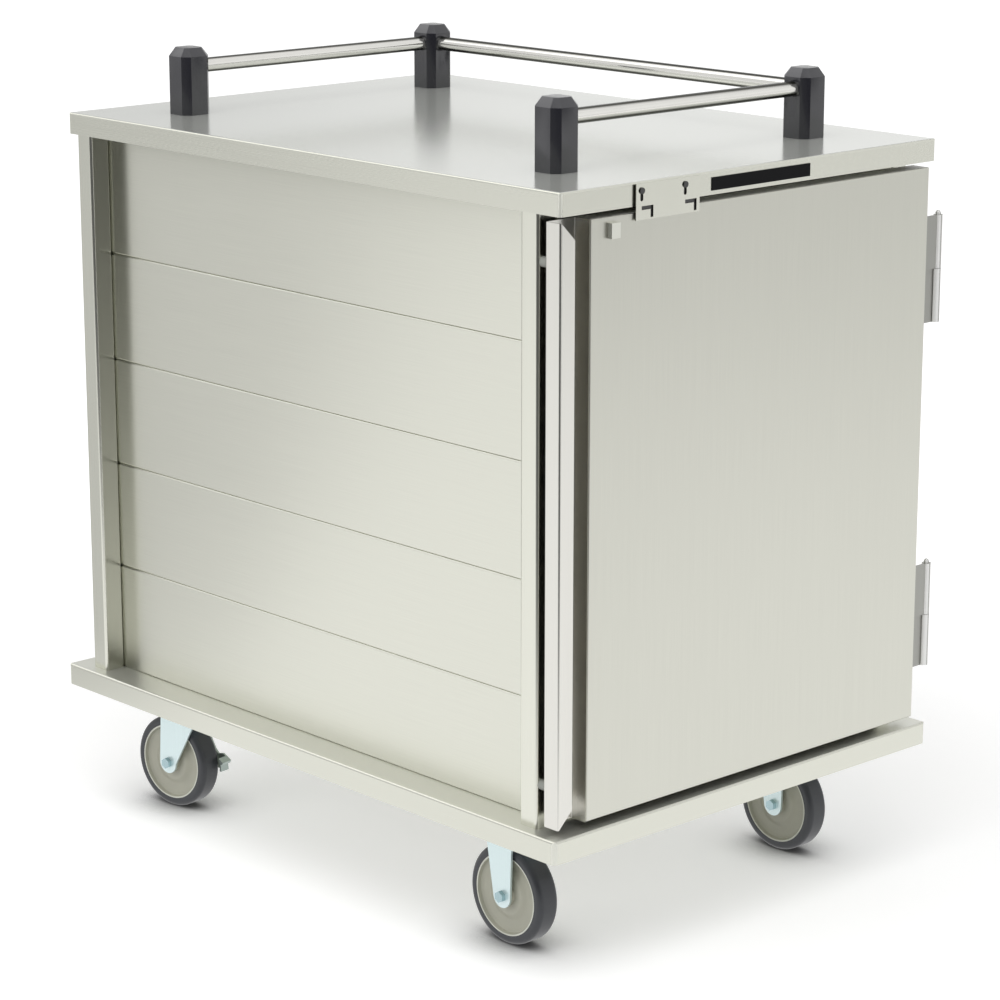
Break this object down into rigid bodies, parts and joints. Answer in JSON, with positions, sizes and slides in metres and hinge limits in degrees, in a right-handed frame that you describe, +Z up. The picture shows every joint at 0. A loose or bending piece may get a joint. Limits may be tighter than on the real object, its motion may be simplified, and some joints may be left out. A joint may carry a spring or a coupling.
{
  "type": "meal tray cart",
  "caption": "Low enclosed meal tray cart: stainless cabinet with tray ledges, full-height door on lift-off hinges, guard rail on the deck, rigid and braked swivel casters.",
  "frame": {"origin": "on the floor under the middle of the deck", "axes": "+Z up; -Y towards the door; +X to the right of someone who faces the door"},
  "size_m": [0.688, 0.969, 1.043],
  "materials": {
    "stainless": "brushed, number 4 grain",
    "stainless_tube": "satin polished",
    "zinc_steel": "bright zinc plated, slightly blue",
    "black_plastic": "moulded, fine matt",
    "dark_plate": "dark matt, blank",
    "buffer_rubber": "light grey, matt",
    "hub_plastic": "moulded, warm grey",
    "tyre_rubber": "dark grey rubber, matt"
  },
  "bodies": {
    "cart": {"base_pan": "stainless", "front_left_post": "stainless", "front_right_post": "stainless", "rear_left_post": "stainless", "rear_right_post": "stainless", "left_wall_1": "stainless", "left_wall_2": "stainless", "left_wall_3": "stainless", "left_wall_4": "stainless", "left_wall_5": "stainless", "right_wall_1": "stainless", "right_wall_2": "stainless", "right_wall_3": "stainless", "right_wall_4": "stainless", "right_wall_5": "stainless", "back_panel": "stainless", "top_deck": "stainless", "deck_hats": "stainless", "door_header": "stainless", "caster_rails": "stainless", "frame_hinges": "stainless", "rail_front": "stainless_tube", "rail_rear": "stainless_tube", "rail_right": "stainless_tube", "front_left_fork": "zinc_steel", "front_right_fork": "zinc_steel", "front_axles": "zinc_steel", "swivel_plates": "zinc_steel", "kingpins": "zinc_steel", "caster_bolts": "zinc_steel", "rail_screws": "zinc_steel", "rail_post_front_left": "black_plastic", "rail_post_front_right": "black_plastic", "rail_post_rear_left": "black_plastic", "rail_post_rear_right": "black_plastic", "blank_plate": "dark_plate", "door_buffers": "buffer_rubber"},
    "door": {"door_skin": "stainless", "door_liner": "stainless", "door_stiffener": "stainless", "pull_channel": "stainless", "door_hinges": "stainless", "door_block": "stainless", "latch_base": "stainless"},
    "latch": {"latch_plate": "stainless"},
    "rear_left_caster": {"rear_left_fork": "zinc_steel", "rear_left_pins": "zinc_steel"},
    "rear_right_caster": {"rear_right_fork": "zinc_steel", "rear_right_pins": "zinc_steel"},
    "left_pedal": {"left_brake_pedal": "zinc_steel"},
    "right_pedal": {"right_brake_pedal": "zinc_steel"},
    "front_left_wheel": {"front_left_hub": "hub_plastic", "front_left_tyre": "tyre_rubber"},
    "front_right_wheel": {"front_right_hub": "hub_plastic", "front_right_tyre": "tyre_rubber"},
    "rear_left_wheel": {"rear_left_hub": "hub_plastic", "rear_left_tyre": "tyre_rubber"},
    "rear_right_wheel": {"rear_right_hub": "hub_plastic", "rear_right_tyre": "tyre_rubber"}
  },
  "joints": [
    {"name": "door_hinge", "type": "hinge", "parent": "cart", "child": "door", "pos_m": [0.348, -0.455, 0.55], "axis": [0, 0, 1], "range_deg": [0, 270]},
    {"name": "latch_slide", "type": "slide", "parent": "door", "child": "latch", "axis": [0, 0, 1], "range_m": [0, 0.0095]},
    {"name": "front_left_wheel_spin", "type": "hinge", "parent": "cart", "child": "front_left_wheel", "pos_m": [-0.2445, -0.31, 0.0635], "axis": [1, 0, 0], "continuous": true},
    {"name": "front_right_wheel_spin", "type": "hinge", "parent": "cart", "child": "front_right_wheel", "pos_m": [0.2445, -0.31, 0.0635], "axis": [1, 0, 0], "continuous": true},
    {"name": "rear_left_swivel", "type": "hinge", "parent": "cart", "child": "rear_left_caster", "pos_m": [-0.2355, 0.339, 0.155], "axis": [0, 0, 1], "continuous": true},
    {"name": "rear_left_wheel_spin", "type": "hinge", "parent": "rear_left_caster", "child": "rear_left_wheel", "pos_m": [-0.24037, 0.37366, 0.0635], "axis": [0.9903, 0.1392, 0], "continuous": true},
    {"name": "left_brake", "type": "hinge", "parent": "rear_left_caster", "child": "left_pedal", "pos_m": [-0.23661, 0.34692, 0.1075], "axis": [0.9903, 0.1392, 0], "range_deg": [0, 8]},
    {"name": "rear_right_swivel", "type": "hinge", "parent": "cart", "child": "rear_right_caster", "pos_m": [0.2355, 0.339, 0.155], "axis": [0, 0, 1], "continuous": true},
    {"name": "rear_right_wheel_spin", "type": "hinge", "parent": "rear_right_caster", "child": "rear_right_wheel", "pos_m": [0.23063, 0.37366, 0.0635], "axis": [0.9903, 0.1392, 0], "continuous": true},
    {"name": "right_brake", "type": "hinge", "parent": "rear_right_caster", "child": "right_pedal", "pos_m": [0.23439, 0.34692, 0.1075], "axis": [0.9903, 0.1392, 0], "range_deg": [0, 8]}
  ]
}
